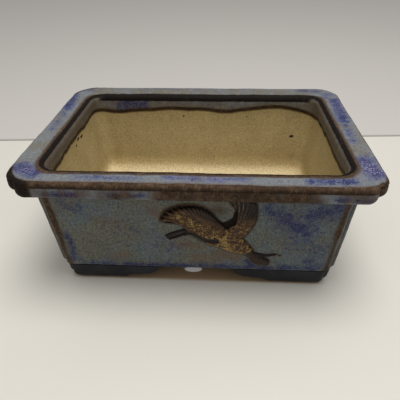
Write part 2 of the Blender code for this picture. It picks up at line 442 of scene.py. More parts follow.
def clay_material():
    """Bare buff stoneware inside and below, gritty, with iron specks and a scorched edge at the glaze."""
    g = Graph("buff_clay", 0.85, gloss=0.2)
    grain = g.noise(0.7 * MM, 4.0, 0.7, seed=5.0)
    cloud = g.noise(22 * MM, 3.0, 0.5, seed=6.0)
    smear = g.noise(7 * MM, 3.0, 0.55, seed=7.0, stretch=(1, 1, 0.35))
    colour = g.mix(g.ramp(cloud, 0.35, 0.65), (0.365, 0.290, 0.143), (0.405, 0.322, 0.165))
    colour = g.tint(colour, g.ramp(smear, 0.5, 0.75), 0.35, (0.320, 0.245, 0.115))
    # Painted light: the floor and the foot of the inner walls are painted paler, as if lit from above.
    colour = g.mix(g.attribute("painted_light"), colour, (0.760, 0.640, 0.400))
    shade = g.varied(1.0, grain, 2.2)
    colour = g.mix(1.0, colour, g.grey(shade), "MULTIPLY")
    scorch = g.broken(g.attribute("scorch"), smear, 0.5, 0.25, 0.95)
    colour = g.tint(colour, scorch, 0.9, (0.060, 0.032, 0.012))
    speck = g.specks(6 * MM, 0.5 * MM, 0.3, seed=0.9)
    colour = g.tint(colour, speck, 0.6, (0.06, 0.035, 0.02))
    spot = g.ramp(g.attribute("spot"), 0.3, 0.7)
    colour = g.mix(spot, colour, (0.02, 0.013, 0.008))
    return g.finish(colour, g.span(grain, 0.75, 0.95), (grain, 0.3, 0.25 * MM), (smear, 0.2, 0.4 * MM))


def foot_material():
    """Dark slate slip, nearly matte, rubbed paler along its edges."""
    g = Graph("slate_slip", 0.7, gloss=0.3)
    grain = g.noise(0.8 * MM, 4.0, 0.7, seed=8.0)
    cloud = g.noise(9 * MM, 3.0, 0.55, seed=9.0)
    colour = g.mix(g.ramp(cloud, 0.35, 0.7), (0.009, 0.008, 0.011), (0.017, 0.019, 0.027))
    colour = g.tint(colour, g.ramp(grain, 0.5, 0.75), 0.5, (0.038, 0.038, 0.044))
    colour = g.tint(colour, g.attribute("worn"), 0.6, (0.10, 0.065, 0.04))
    return g.finish(colour, g.span(grain, 0.5, 0.75), (grain, 0.25, 0.2 * MM))


def crane_material():
    """Iron glaze on the relief: ochre on raised lines, red-brown on the slopes, black in the hollows, where
    the fold's black is painted shade.
    """
    g = Graph("crane_glaze", 0.4, gloss=0.2)
    grain = g.noise(0.6 * MM, 3.0, 0.65, seed=10.0)
    mottle = g.noise(1.8 * MM, 3.0, 0.6, seed=11.0)
    colour = g.mix(g.ramp(mottle, 0.35, 0.65), (0.042, 0.022, 0.013), (0.125, 0.064, 0.028))
    # The dark mask carries painted shade in the fold besides the relief's dark glaze.
    dark = g.broken(g.attribute("dark"), mottle, 0.7, 0.25, 0.8)
    colour = g.mix(dark, colour, (0.012, 0.008, 0.007))
    gold = g.broken(g.attribute("gold"), mottle, 1.3, 0.38, 0.95)
    ochre = g.mix(g.ramp(grain, 0.4, 0.7), (0.190, 0.108, 0.030), (0.500, 0.365, 0.140))
    colour = g.mix(gold, colour, ochre)
    return g.finish(colour, g.span(grain, 0.3, 0.55), (grain, 0.2, 0.15 * MM))


# ---- where the glaze pools and breaks

# Pools of cobalt and rust, each along a short line: (start, end, reach, strength) in millimetres.
# On the lip's flat the places are (x, y); on the lip's band and on the wall they are (x, height).
LIP_POOLS = (
    ((-84, -50), (-76, -53.5), 5, 1.4), ((-54, -56.5), (-26, -57), 3.6, 0.6),
    ((-13, -56.3), (24, -56.3), 3, 0.75), ((54, -57), (72, -56.5), 3.8, 1),
    ((84.5, -49), (82.5, -37), 5.5, 1.3), ((85.5, 42), (84, 10), 4.2, 1.25),
    ((84, 10), (82.5, -16), 3.2, 0.75), ((83, 52), (81, 49), 4.5, 0.7), ((68, 59.5), (78, 57.5), 4.5, 0.7),
    ((-88, 46), (-86.5, 24), 4.2, 1.15), ((-86.5, 24), (-84.5, -6), 3.2, 0.6),
    ((-84, 56), (-79, 58.5), 4.5, 0.6), ((-45, 60.5), (40, 61), 3.5, 0.3),
    ((-58, 48.6), (-40, 48.6), 3.2, 0.85), ((-30, 48.6), (40, 48.6), 3, 0.25),
)
BAND_POOLS = (
    ((-68, 69), (-66, 69), 2.2, 0.9), ((-64, 68.7), (-54, 69), 2.2, 1.4),
    ((-38, 69.6), (-22, 69.6), 1.8, 1), ((66, 69.5), (68, 69.3), 2.4, 1.2),
    ((74, 68.6), (79, 68.4), 2.2, 0.95),
)
LILAC_POOLS = (
    ((-82, -51), (-78, -52.5), 2.6, 0.9), ((84, -47), (83, -41), 4.5, 1),
    ((-10, -56.5), (20, -56.5), 3, 0.4), ((85.5, 38), (84.5, 20), 3, 0.4),
)
WALL_POOLS = (
    ((-66, 57), (-58, 54), 4.5, 0.65), ((-68.5, 36), (-68, 18), 3.2, 0.8),
    ((-62, 14), (-44, 13.8), 2.6, 0.8), ((-40, 14), (-34, 14), 2.6, 0.9),
    ((-30, 13.8), (66, 14.5), 2.8, 0.9), ((37, 56), (44, 51), 6, 0.8), ((45, 50), (56, 43), 8, 0.9),
    ((57, 53), (71, 57), 8, 0.85), ((50, 42), (64, 28), 12, 0.5), ((27.5, 20), (32, 15), 2, 1.2),
    ((-24, 36), (-10, 28), 8, 0.3), ((-40, 42), (-30, 38), 6, 0.3), ((60, 20), (68, 16), 5, 0.55),
    ((-52, 30), (-50, 20), 5, 0.25),
)
RUST_POOLS = (
    ((-50, 47), (-40, 46), 6, 0.7), ((-46, 21), (-38, 21), 6, 0.7), ((0, 22), (12, 20), 6, 0.8),
    ((12, 24), (22, 22.5), 4, 1.25), ((-10, 31), (2, 29), 6, 0.8), ((-20, 53), (-17.5, 51), 4, 1.3),
)


def pools(u, v, spots):
    """Strongest of the pools at each place, falling off smoothly with distance."""
    value = np.zeros(len(u))
    for start, end, reach, strength in spots:
        distance = segment_distance(u / MM, v / MM, start, end)[0]
        value = np.maximum(value, strength * np.exp(-((distance / reach) ** 1.5)))
    return value


def glaze_line(x, y):
    """Height of the ragged edge where the glaze ends inside, around the four walls."""
    back = np.mean([np.interp(x / MM + shift, (-72, -62, -50, -25, 0, 15, 34, 47, 60, 71),
                              (0.5, -2.4, -0.6, 0.8, 0.6, -1.0, 1.4, 3.6, 2.2, -1.6))
                    for shift in np.linspace(-6, 6, 9)], axis=0) * MM
    place = [(px, py, 0.0) for px, py in zip(x, y)]
    ragged = 1.6 * MM * fractal(place, 16 * MM, 3, 2) + 0.35 * MM * fractal(place, 3 * MM, 4, 2)
    on_back = smooth(y, 30 * MM, 44 * MM)
    return GLAZE_LINE + on_back * (back + 0.3 * ragged) + (1 - on_back) * (ragged + 1.5 * MM)


# ---- lip

def filled_corner(inset, share):
    """The lip's outline with its corner notches filled by a share, from 0, sharp, to 1, rounded off."""
    radius = FILLED_CORNER + (OPENING_CORNER + INNER_EDGE - FILLED_CORNER) * inset / FLAT_END
    return lip_outline(inset) * (1 - share) + rounded(inset, radius) * share


def lip_rings():
    """Rings of the lip: under the rim, up the outer face, over the bead, across, down to the glaze line."""
    rings = Rings()
    for inset in np.linspace(TOP_INSET + BEHIND_WALL, LOWER_EDGE, 7):
        rings.add(lip_outline(inset), inset, LIP_LOW)
    for inset, z in arc((LOWER_EDGE, LIP_LOW + LOWER_EDGE), LOWER_EDGE, 264, 180, 7):
        rings.add(lip_outline(inset), inset, z)
    for z in np.linspace(LIP_LOW + LOWER_EDGE, TOP - BEAD_RADIUS, 10)[1:-1]:
        dip = CREASE_DEPTH * hump(z, TOP - CREASE_DROP, CREASE_WIDTH)
        rings.add(lip_outline(dip), dip, z)
    for inset, z in arc((BEAD_RADIUS, TOP - BEAD_RADIUS), BEAD_RADIUS, 180, 90, 8):
        rings.add(filled_corner(inset, NOTCH_FILL * smooth(z, TOP - CREASE_DROP, TOP)), inset, z)
    for inset in np.linspace(BEAD_RADIUS, FLAT_END, 14)[1:-1]:
        share = NOTCH_FILL + (1 - NOTCH_FILL) * smooth(inset, BEAD_RADIUS, FLAT_END)
        sink = BEAD_RISE * smooth(inset, BEAD_RADIUS, BEAD_WIDTH)
        rings.add(filled_corner(inset, share), inset, TOP - sink)
    edge = INNER_EDGE - BEAD_RISE
    for angle in np.radians(np.linspace(90, 0, 10)):
        inset = FLAT_END + INNER_EDGE * math.cos(angle)
        z = TOP - INNER_EDGE + edge * math.sin(angle)
        rings.add(rounded(inset, OPENING_CORNER + INNER_FACE - inset), inset, z)
    face = rounded(INNER_FACE, OPENING_CORNER)
    line = glaze_line(face[:, 0], face[:, 1])
    start = TOP - INNER_EDGE
    for t in np.linspace(0, 1, 11)[1:]:
        rings.add(face, INNER_FACE, start + (line + 0.3 * MM - start) * t)
    for sink, drop in ((0.12, -0.15), (0.5, -0.35), (1.0, -0.45)):
        buried = rounded(INNER_FACE - GLAZE_THICKNESS * 1.6 * sink, OPENING_CORNER)
        rings.add(buried, INNER_FACE, line + drop * MM)
    return rings


def lip_bumps(points):
    slow = 0.30 * MM * fractal(points, 34 * MM, 1)
    lumps = 0.10 * MM * fractal(points, 5 * MM, 2)
    outside = (np.abs(points[:, 0]) > RIM_A - FLAT_END) | (np.abs(points[:, 1]) > RIM_B - FLAT_END)
    return (slow + lumps) * np.where(outside, 1.0, smooth(points[:, 2], TOP - INNER_EDGE, TOP))


def outer_glaze(x, y, inset, level, front, band, uneven):
    """Brown, black and rust where glaze breaks over the lip's outer edges and corners, with painted shade
    on the front bead's outer face and a painted highlight along its inner edge.
    """
    above = level > TOP - CREASE_DROP
    right = smooth(x, 0 * MM, 50 * MM)
    width = (1.3 + (1.8 - 0.6 * right) * front) * MM + 0.4 * MM * uneven
    bead = above * smooth(inset, width + 0.8 * MM, width - 1.2 * MM)
    # Painted shade: black on the bead's outer face on the front, under its roll.
    low_bead_shade = front * above * smooth(level, TOP - 0.2 * MM, TOP - 1.6 * MM) * (inset < 3 * MM)
    crease = hump(level, TOP - CREASE_DROP, CREASE_WIDTH) * (inset < 2 * MM)
    low_edge = band * smooth(level, LIP_LOW + 1.6 * MM, LIP_LOW + 0.4 * MM)
    middle = smooth(x, -22 * MM, -8 * MM) * smooth(x, 64 * MM, 52 * MM)
    plain = band * np.clip(0.42 + 0.5 * np.where(front > 0.5, middle, 0.4 + uneven) + 0.3 * uneven, 0, 1)
    from_corner = np.maximum(RIM_A - np.abs(x), RIM_B - np.abs(y))
    nose = 1 - smooth(from_corner, (13 - 8 * right) * MM, (18 - 8 * right) * MM)
    nose = nose * (1 - smooth(inset, 1.6 * MM, (3.6 - 1.4 * right) * MM))
    front_left = (x < -60 * MM) & (y < 0)
    brown = np.max((bead, crease, 0.8 * low_edge, plain, nose), axis=0)
    black = np.max((0.55 * crease, 0.35 * low_edge, 0.35 * low_bead_shade, 0.3 * plain,
                    0.5 * nose * (1 - 0.8 * right), 0.7 * nose * front_left), axis=0)
    # Painted highlight in rust colour along the bead's inner edge on the front.
    rust_and_highlight = 0.7 * above * hump(inset, width + 0.6 * MM, 1 * MM) * front
    return brown, black, rust_and_highlight


def inner_glaze(x, y, z, inset, long_side, front, uneven):
    """Brown, black and olive from the opening's rolled edge down to the ragged end of the glaze."""
    side = smooth(inset, 14 * MM, 15 * MM) * (1 - long_side)
    roll_start = (8.2 + 2.8 * long_side - 2.6 * front + 0.7 * uneven) * MM
    roll_end = (12.2 + 0.6 * long_side - 2.0 * front) * MM
    rolled = smooth(inset, roll_start, roll_end) * smooth(z, TOP - 5 * MM, TOP - 3.6 * MM)
    rolled = rolled * (1 - 0.6 * side)
    # Near-black on the rolled inner edge: iron glaze breaking there, darkened further as painted shade.
    dark_start = (11.6 - 0.2 * long_side) * MM
    dark_roll = rolled * smooth(inset, dark_start, dark_start + 1.2 * MM) * (1 - side)
    inside = inset > INNER_FACE - 0.8 * MM
    over_line = z - glaze_line(x, y)
    ending = inside * smooth(over_line, 2.8 * MM, 0.8 * MM)
    olive = inside * smooth(over_line, 4 * MM, 2.2 * MM)
    face = 0.5 * inside * (1 - 0.35 * long_side)
    brown = np.max((0.85 * rolled, ending, 0.42 * side, face), axis=0)
    return brown, np.maximum(1.2 * dark_roll, 0.45 * ending), olive, side


def lip_attributes(points, inset, level):
    """Looks of the lip's glaze at each point, from its ring's inset and level."""
    x, y, z = points.T
    uneven = fractal(points, 9 * MM, 5)
    from_end = RIM_A - np.abs(x)
    from_long = RIM_B - np.abs(y)
    long_side = smooth(from_end - from_long, -4 * MM, 8 * MM)
    front = long_side * (y < 0)
    back = long_side * (y > 0)
    above = level > TOP - CREASE_DROP
    band = (inset < FLAT_END) & (level > LIP_LOW + 0.1 * MM) & (level < TOP - CREASE_DROP)
    outer_brown, outer_black, painted_highlight = outer_glaze(x, y, inset, level, front, band, uneven)
    inner_brown, inner_black, olive, side = inner_glaze(x, y, z, inset, long_side, front, uneven)
    on_front_band = (from_long < FLAT_END) & (y < 0) & band
    return {
        "cobalt": np.where(on_front_band, pools(x, z, BAND_POOLS), pools(x, y, LIP_POOLS)),
        "lilac": pools(x, y, LILAC_POOLS) * above,
        "brown": np.max((outer_brown, inner_brown, 0.3 * back * above), axis=0),
        "black": np.maximum(outer_black, inner_black),
        # Rust here is the painted highlight on the front bead and olive rust near the glaze's end.
        "rust_and_highlight": np.maximum(painted_highlight, 0.45 * olive),
        "blue": 0.12 + 0.1 * front - 0.4 * olive - 0.06 * back - 0.2 * side,
    }


def add_lip(material):
    lip = lofted("rim_lip", lip_rings(), material, lip_bumps, lip_attributes)
    placed(lip, "lip_glaze", "lip_front", "lip_back", "lip_left", "lip_right")


# ---- walls

def wall_rings():
    rings = Rings()

    def add(inset, z):
        rings.add(wall_outline(wall_inset(z) + inset), inset, z)

    for inset in np.linspace(8 * MM, BASE_EDGE, 5)[:-1]:
        add(inset, BASE_LOW)
    for inset, z in arc((BASE_EDGE, BASE_LOW + BASE_EDGE), BASE_EDGE, 270, 180, 6):
        add(inset, z)
    start = BASE_LOW + BASE_EDGE
    for z in np.linspace(start, LIP_LOW + 0.6 * MM, round((LIP_LOW - start) / STEP))[1:]:
        add(0.0, z)
    return rings


def wall_bumps(points):
    slow = 0.35 * MM * fractal(points, 45 * MM, 6)
    lumps = 0.08 * MM * fractal(points, 6 * MM, 7)
    return slow + lumps


def corner_distance(points):
    """Distance along the wall from the inset corner."""
    inset = wall_inset(points[:, 2])
    from_x = RIM_A - inset - np.abs(points[:, 0])
    from_y = RIM_B - inset - np.abs(points[:, 1])
    return np.maximum(from_x, from_y) - WALL_CORNER[0]


def wall_attributes(points, _inset, level):
    """Brown at the corners and base, cobalt along the base and in pools, rusty and bluer patches."""
    x, y, z = points.T
    uneven = fractal(points, 12 * MM, 8)
    drift = fractal(points, 30 * MM, 9)
    from_corner = corner_distance(points)
    middle = (2.6 + 1.0 * drift) * MM
    corner = (0.85 + 0.3 * uneven) * hump(from_corner, middle, (2.3 + 0.8 * uneven) * MM)
    nose = 0.4 * smooth(from_corner, 2 * MM, 0.5 * MM)
    bottom = 1 - smooth(level, BASE_LOW + 0.4 * MM, BASE_LOW + 1.4 * MM)
    front = (y < -RIM_B / 2) & (from_corner > -0.5 * MM)
    lower_band = 0.85 * hump(z, BASE_LOW + 2.5 * MM, 2.8 * MM) * smooth(uneven, -0.5, 0.2)
    elsewhere = np.maximum(lower_band, 0.75 * smooth(uneven + drift, 0.25, 0.9))
    cobalt = np.where(front, pools(x, z, WALL_POOLS), elsewhere)
    rust_and_highlight = np.where(front, pools(x, z, RUST_POOLS), 0.8 * smooth(-uneven - drift, 0.3, 0.9))
    # Brown round the crane is iron glaze with painted shade; black in its hollows is painted shade.
    halo_and_shade, hollow_shade = crane_halo_and_shade(x, z)
    brown = np.max((corner, nose, bottom, front * halo_and_shade), axis=0)
    blue = np.where(front, 0.16 * smooth(x, 0.025, 0.06), 0.05 + 0.12 * drift)
    black = np.maximum(0.6 * bottom, front * hollow_shade)
    return {"cobalt": cobalt, "lilac": 0 * x, "brown": brown, "black": black, "rust_and_highlight": rust_and_highlight, "blue": blue}


def add_walls(material):
    walls = lofted("glazed_walls", wall_rings(), material, wall_bumps, wall_attributes)
    placed(walls, "wall_glaze", "wall_front", "wall_back", "wall_left", "wall_right")


# ---- bare clay inside and below

def to_circle(outline, radius):
    """Points of a circle in the same directions as the outline's points."""
    angles = np.arctan2(outline[:, 1], outline[:, 0])
    return np.column_stack((radius * np.cos(angles), radius * np.sin(angles)))


def clay_rings():
    """Down the inner walls, round the cove, over the floor, through the drain hole and out below."""
    rings = Rings()
    cove_top = FLOOR_TOP + COVE
    low_face = wall_inset(cove_top) + LOW_WALL
    high_face = INNER_FACE - GLAZE_THICKNESS
    start = GLAZE_LINE + BEHIND_GLAZE
    for z in np.linspace(start, cove_top, round((start - cove_top) / STEP)):
        share = smooth(z, GLAZE_LINE, cove_top)
        inset = high_face + (low_face - high_face) * share
        radius = OPENING_CORNER + (INNER_CORNER - OPENING_CORNER) * share
        rings.add(rounded(inset, radius), inset, z)
    for inset, z in arc((low_face + COVE, cove_top), COVE, 180, 270, 8)[1:]:
        rings.add(rounded(inset, INNER_CORNER), inset, z)
    floor_edge = rings.points[-1][:, :2]
    hole = to_circle(floor_edge, DRAIN_RADIUS + DRAIN_EDGE)
    for t in np.linspace(0, 1, 26)[1:]:
        rings.add(floor_edge * (1 - t) + hole * t, low_face, FLOOR_TOP)
    for inset, z in arc((DRAIN_EDGE, FLOOR_TOP - DRAIN_EDGE), DRAIN_EDGE, 90, 180, 3)[1:]:
        rings.add(to_circle(floor_edge, DRAIN_RADIUS + inset), low_face, z)
    for inset, z in arc((DRAIN_EDGE, BASE_LOW + DRAIN_EDGE), DRAIN_EDGE, 180, 270, 3):
        rings.add(to_circle(floor_edge, DRAIN_RADIUS + inset), low_face, z)
    below = wall_outline(wall_inset(BASE_LOW) + 6 * MM)
    for t in np.linspace(0, 1, 24)[1:]:
        rings.add(hole * (1 - t) + below * t, low_face, BASE_LOW + 0.25 * MM * smooth(t, 0.8, 1.0))
    return rings


def clay_bumps(points):
    inside = smooth(points[:, 2], FLOOR_TOP - 2 * MM, FLOOR_TOP)
    inside = inside * (1 - smooth(points[:, 2], GLAZE_LINE - 10 * MM, GLAZE_LINE - 1 * MM))
    slow = 0.35 * MM * fractal(points, 28 * MM, 10)
    lumps = 0.08 * MM * fractal(points, 4 * MM, 11)
    return (slow + lumps) * inside


# Iron spots on the bare clay: (x, height) on the back wall, (y, height) on the left one
CLAY_SPOTS = (
    ((61.2, 46.4), (62.6, 46.4), 0.9, 1.2), ((-14, 60), (-14, 60), 1.0, 0.9),
    ((30, 60), (30, 60), 0.9, 0.8),
)
CLAY_DRIPS = (
    ((12.5, 62), (9.5, 62), 0.9, 1.1), ((6.5, 63.2), (3.5, 63.2), 0.9, 1.0),
    ((1, 61), (-0.5, 61), 0.7, 1.0),
)


def clay_attributes(points, _inset, _level):
    """Scorched brown under the glaze line, iron spots, and painted light that makes the clay paler low
    inside.
    """
    x, y, z = points.T
    below = glaze_line(x, y) - z
    scorch = smooth(below, 2.6 * MM, 0.2 * MM) * (z > FLOOR_TOP)
    under = smooth(z, BASE_LOW + 4 * MM, BASE_LOW + 1 * MM) * 0.25
    back = y > 40 * MM
    left = x < -60 * MM
    dots = np.maximum(back * pools(x, z, CLAY_SPOTS), left * pools(y, z, CLAY_DRIPS))
    # Painted light on the floor, fading out 14 mm up the inner walls.
    painted_light = 0.8 * smooth(z, FLOOR_TOP + 14 * MM, FLOOR_TOP + 2 * MM) * (z > FLOOR_TOP - 1 * MM)
    return {"scorch": np.maximum(scorch, under), "spot": dots, "painted_light": painted_light}


def add_clay(material):
    clay = lofted("clay_body", clay_rings(), material, clay_bumps, clay_attributes)
    placed(clay, "raw_clay", "floor_slab")


# ---- feet

FOOT_WIDTH = 11 * MM
FOOT_EDGE = 3.4 * MM
FOOT_LEAN = 0.10
# Height above the table and share of the leg's full reach, from the sole up: sole, ramp, ledge, ramp
FOOT_PROFILE_Z = np.array((0.0, 0.3, 3.6, 4.6, 5.4, 6.4, 9.8, 11.4)) * MM
FOOT_PROFILE_X = np.array((0.596, 0.600, 0.680, 0.750, 0.900, 0.945, 1.03, 1.04))
FOOT_PROFILE_Y = np.array((0.609, 0.613, 0.690, 0.760, 0.900, 0.945, 1.03, 1.04))
# Heights of the rings, closest together on the ramps
FOOT_LEVELS = MM * np.concatenate((np.linspace(0, 3.9, 14), np.linspace(4.05, 7.0, 18),
                                   np.linspace(7.2, 11.4, 10)))


def foot_ring(inset, reach_x, reach_y, z):
    """L-shaped plan of the +X +Y foot at one height, with a notch at its outer corner."""
    notch, nose, crease = WALL_CORNER
    half = notched_corner(0.0, 0.0, (notch, nose, crease + inset), 0.0) - inset
    corner = np.vstack((half[::-1], half[1:, ::-1]))[::-1]
    inner = FOOT_WIDTH - inset
    leg_y = np.linspace(-reach_y, corner[0][1], 30)[:-1]
    leg_x = np.linspace(corner[-1][0], -reach_x, 44)[1:]
    back_x = np.linspace(-reach_x, -inner, 40)
    back_y = np.linspace(-inner, -reach_y, 26)[1:]
    outline = np.vstack((path(-inset, leg_y), corner, path(leg_x, -inset),
                         path(back_x, -inner), path(-inner, back_y)))
    return at_height(outline, z)


def foot_rings():
    rings = []
    for z in FOOT_LEVELS:
        lift = max(FOOT_EDGE - z, 0.0) / FOOT_EDGE
        inset = FOOT_EDGE * (1 - math.sqrt(max(1 - lift * lift, 0.0))) + FOOT_LEAN * (FOOT_TOP - z)
        reach_x = FOOT_REACH_X * np.interp(z, FOOT_PROFILE_Z, FOOT_PROFILE_X)
        reach_y = FOOT_REACH_Y * np.interp(z, FOOT_PROFILE_Z, FOOT_PROFILE_Y)
        rings.append(foot_ring(inset, reach_x, reach_y, z))
    return rings


def add_feet(material):
    rings = np.array(foot_rings())
    rows, columns = rings.shape[:2]
    for node in ("foot_front_left", "foot_front_right", "foot_back_left", "foot_back_right"):
        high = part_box(node)[1]
        sign = (1 if high.x > 0 else -1, 1 if high.y > 0 else -1)
        points = rings.reshape(-1, 3) * (*sign, 1) + (sign[0] * FOOT_CORNER.x, sign[1] * FOOT_CORNER.y, 0)
        points = points + 0.12 * MM * fractal(points, 7 * MM, 12).reshape(-1, 1) * (1, 1, 0)
        worn = (1 - smooth(points[:, 2], 0.2 * MM, 1.8 * MM)) * 0.8
        obj = object_from(node + "_slip", points, ring_faces(rows, columns), material, {"worn": worn})
        bm = bmesh.new()
        bm.from_mesh(obj.data)
        bmesh.ops.holes_fill(bm, edges=[e for e in bm.edges if e.is_boundary])
        bmesh.ops.recalc_face_normals(bm, faces=bm.faces)
        bm.to_mesh(obj.data)
        bm.free()
        obj.data.set_sharp_from_angle(angle=math.radians(50))
        placed(obj, "dark_foot", node)


# ---- crane relief

CRANE_STEP = 0.27 * MM
WING_ROOT = (8.0, 42.0)
RAISED_ROOT = (22.0, 39.0)
# Outlines on the front wall as (x, height), in millimetres
SPREAD_WING = ((-17, 47.2), (-15, 52.2), (-12, 54.8), (-7, 56.8), (-1, 57.4), (4.2, 56.2),
               (8.4, 53.2), (11.4, 49.4), (15.8, 43.8), (14.5, 38), (8, 36), (0.5, 38.6),
               (-3.6, 41.4), (-7.8, 45.4))
RAISED_WING = ((17.2, 62), (20.4, 57), (21.4, 52), (20.4, 46.6), (16, 42), (18, 36),
               (24.6, 37.2), (28, 42), (30.6, 48.4), (31, 54.4), (29.6, 61), (23.4, 62.8))
BODY = ((-2.4, 39.6), (1.8, 35.6), (7.4, 31.8), (13.1, 29.4), (18.2, 27), (25.4, 25.6), (30.5, 27.4),
        (27.6, 32.6), (24, 37.6), (19, 42.6), (13, 42), (6, 38.6))
HEAD = ((24.5, 27), (28.8, 22.8), (32, 18.8), (35.8, 16.6), (39, 17), (39.6, 20.2), (36.8, 22.8),
        (32.2, 25.6), (28.5, 29.2))
# Lines that the beak, the netted band, the legs, the shoulder and the two hollows follow
BEAK = ((31.8, 25.2), (38.4, 24.2), (42.3, 25.2), (45.9, 24))
NET_BAND = ((-9.2, 51.8), (-4.1, 49.6), (-0.3, 46.3), (5.1, 42.4), (11, 38.6))
LEGS = (((-1.6, 40.6), (-6.1, 41), (-11.9, 38.8), (-14.9, 37.2)),
        ((-1.7, 39.3), (-6.3, 38.2), (-11, 35.8), (-13.3, 34.9)),
        ((-9, 39.8), (-12.2, 37.6), (-14.2, 36)))
SHOULDER = ((18, 30), (15, 36), (16.5, 42))
FOLD = ((-1.6, 40), (1.6, 37.6), (6.2, 35.2), (11, 35.2))
HOLLOW = ((14.6, 44.6), (18, 46.8), (20.6, 50), (20.8, 54.5))


def closed_curve(points, steps=6):
    """Catmull-Rom curve through a closed outline."""
    p = np.array(points, float)
    before, after, later = np.roll(p, 1, 0), np.roll(p, -1, 0), np.roll(p, -2, 0)
    curve = []
    for t in np.arange(steps) / steps:
        curve.append(0.5 * (2 * p + (after - before) * t + (2 * before - 5 * p + 4 * after - later) * t ** 2
                            + (3 * p - before - 3 * after + later) * t ** 3))
    return np.stack(curve, axis=1).reshape(-1, 2)


def segment_distance(x, z, start, end):
    """Distance to a segment, and how far along it the nearest point lies."""
    dx, dz = end[0] - start[0], end[1] - start[1]
    t = np.clip(((x - start[0]) * dx + (z - start[1]) * dz) / max(dx * dx + dz * dz, 1e-9), 0, 1)
    return np.hypot(x - start[0] - t * dx, z - start[1] - t * dz), t


def depth_inside(x, z, outline):
    """Distance to a closed outline, positive inside it."""
    curve = closed_curve(outline)
    nearest = np.full(x.shape, 1e9)
    inside = np.zeros(x.shape, bool)
    for start, end in zip(curve, np.roll(curve, -1, 0)):
        nearest = np.minimum(nearest, segment_distance(x, z, start, end)[0])
        crosses = (start[1] > z) != (end[1] > z)
        rise = end[1] - start[1] or 1e-9
        inside ^= crosses & (x < start[0] + (z - start[1]) * (end[0] - start[0]) / rise)
    return np.where(inside, nearest, -nearest)


def stroke_depth(x, z, line, thick, thin):
    """Depth inside a tapering stroke drawn along a line."""
    best = np.full(x.shape, -1e9)
    count = len(line) - 1
    for i in range(count):
        distance, t = segment_distance(x, z, line[i], line[i + 1])
        best = np.maximum(best, thick + (thin - thick) * (i + t) / count - distance)
    return best


def crane_halo_and_shade(x, z):
    """Brown round the relief, iron glaze gathered there with painted shade between and below the wings, and
    the black of painted shade in the hollows beside the wings.
    """
    x, z = x / MM, z / MM
    near = np.abs(x - 14) + np.abs(z - 40) < 70
    depth = np.full(x.shape, -99.0)
    for outline in (SPREAD_WING, RAISED_WING, BODY, HEAD):
        depth[near] = np.maximum(depth[near], depth_inside(x[near], z[near], outline))
    # Iron glaze gathered round the outlines, widened between the wings as painted shade.
    rim = 0.95 * smooth(depth, -2.4 - 2.0 * smooth(z, 48, 56) * smooth(x, 16, 8), 0.6)
    # Painted shade: black in the hollow beside the raised wing, dark between the wings and below the body.
    crescent_shade = 1.1 * smooth(stroke_depth(x, z, HOLLOW, 3.2, 1.4), -0.4, 1.6)
    shade_between = 0.6 * hump(x, 12.5, 7.0) * hump(z, 55.0, 5.0)
    below = 0.5 * hump(x, 2.0, 7.0) * hump(z, 36.0, 2.0)
    return np.max((rim, crescent_shade, shade_between, below), axis=0), np.maximum(0.55 * rim, crescent_shade)


def dome(depth, shoulder):
    """Rounded rise from an edge: 0 at the edge, 1 a shoulder's width inside."""
    t = np.clip(depth / shoulder, 0, 1)
    return np.sqrt(1 - (1 - t) ** 2)


def feathers(x, z, root, first, last, count):
    """Ridges fanning from a root: 1 along each feather's crest, 0 in the groove, and the distance out."""
    dx, dz = x - root[0], z - root[1]
    reach = np.hypot(dx, dz)
    angle = np.degrees(np.arctan2(dz, dx)) + 14.0 * np.sin(reach * 0.09)
    turn = (angle - first) / (last - first) * count
    ridge = np.abs(np.sin(math.pi * turn))
    return ridge, reach


def net(x, z, size):
    """Raised net of lines between irregular cells: 1 on a line."""
    value = np.zeros(x.size)
    for i, (px, pz) in enumerate(zip(x.ravel() / size, z.ravel() / size)):
        near = noise.voronoi(Vector((px, 0.37, pz)))[0]
        value[i] = near[1] - near[0]
    return smooth(value, 0.26, 0.03).reshape(x.shape)


def shoulder_line(x, z):
    """Gold line across the shoulder, shared by the raised wing and the body."""
    return smooth(stroke_depth(x, z, SHOULDER, 2.6, 1.4), -1.0, 1.5)


# Each part gives its depth inside its outline, its height, and how gold and how dark it is
def spread_wing(x, z, fine_net):
    netted = smooth(stroke_depth(x, z, NET_BAND, 2.6, 5.0), -0.8, 1.6)
    ridge, reach = feathers(x, z, WING_ROOT, 100.0, 172.0, 12)
    depth = depth_inside(x, z, SPREAD_WING) - 2.2 * (1 - ridge) * smooth(reach, 15.0, 23.0)
    height = dome(depth, 1.6) * (1.5 + 0.5 * (1 - netted) * (ridge - 0.5) + 0.45 * netted * fine_net)
    crest = smooth(ridge, 0.80, 1.0) * smooth(x, 4.0, -6.0)
    gold = np.maximum(0.95 * fine_net * netted, 0.45 * crest)
    dark = smooth(z + 0.55 * x, 50.0, 55.0) * smooth(netted, 0.9, 0.2) * (1.05 - 0.6 * ridge)
    return depth, height, gold, dark


def raised_wing(x, z, broad_net):
    ridge, reach = feathers(x, z, RAISED_ROOT, 66.0, 112.0, 8)
    far = smooth(reach, 7.0, 11.0)
    depth = depth_inside(x, z, RAISED_WING)
    height = dome(depth, 1.4) * (1.35 + 0.5 * far * (ridge - 0.5) + 0.35 * (1 - far) * broad_net)
    crest = smooth(ridge, 0.86, 1.0) * far * smooth(x, 29.0, 24.0)
    gold = np.max((0.65 * broad_net * (1 - far), 0.6 * crest, 0.75 * shoulder_line(x, z)), axis=0)
    dark = 0.85 * smooth(z, 46.0, 54.0) * (1 - 0.8 * crest)
    return depth, height, gold, dark


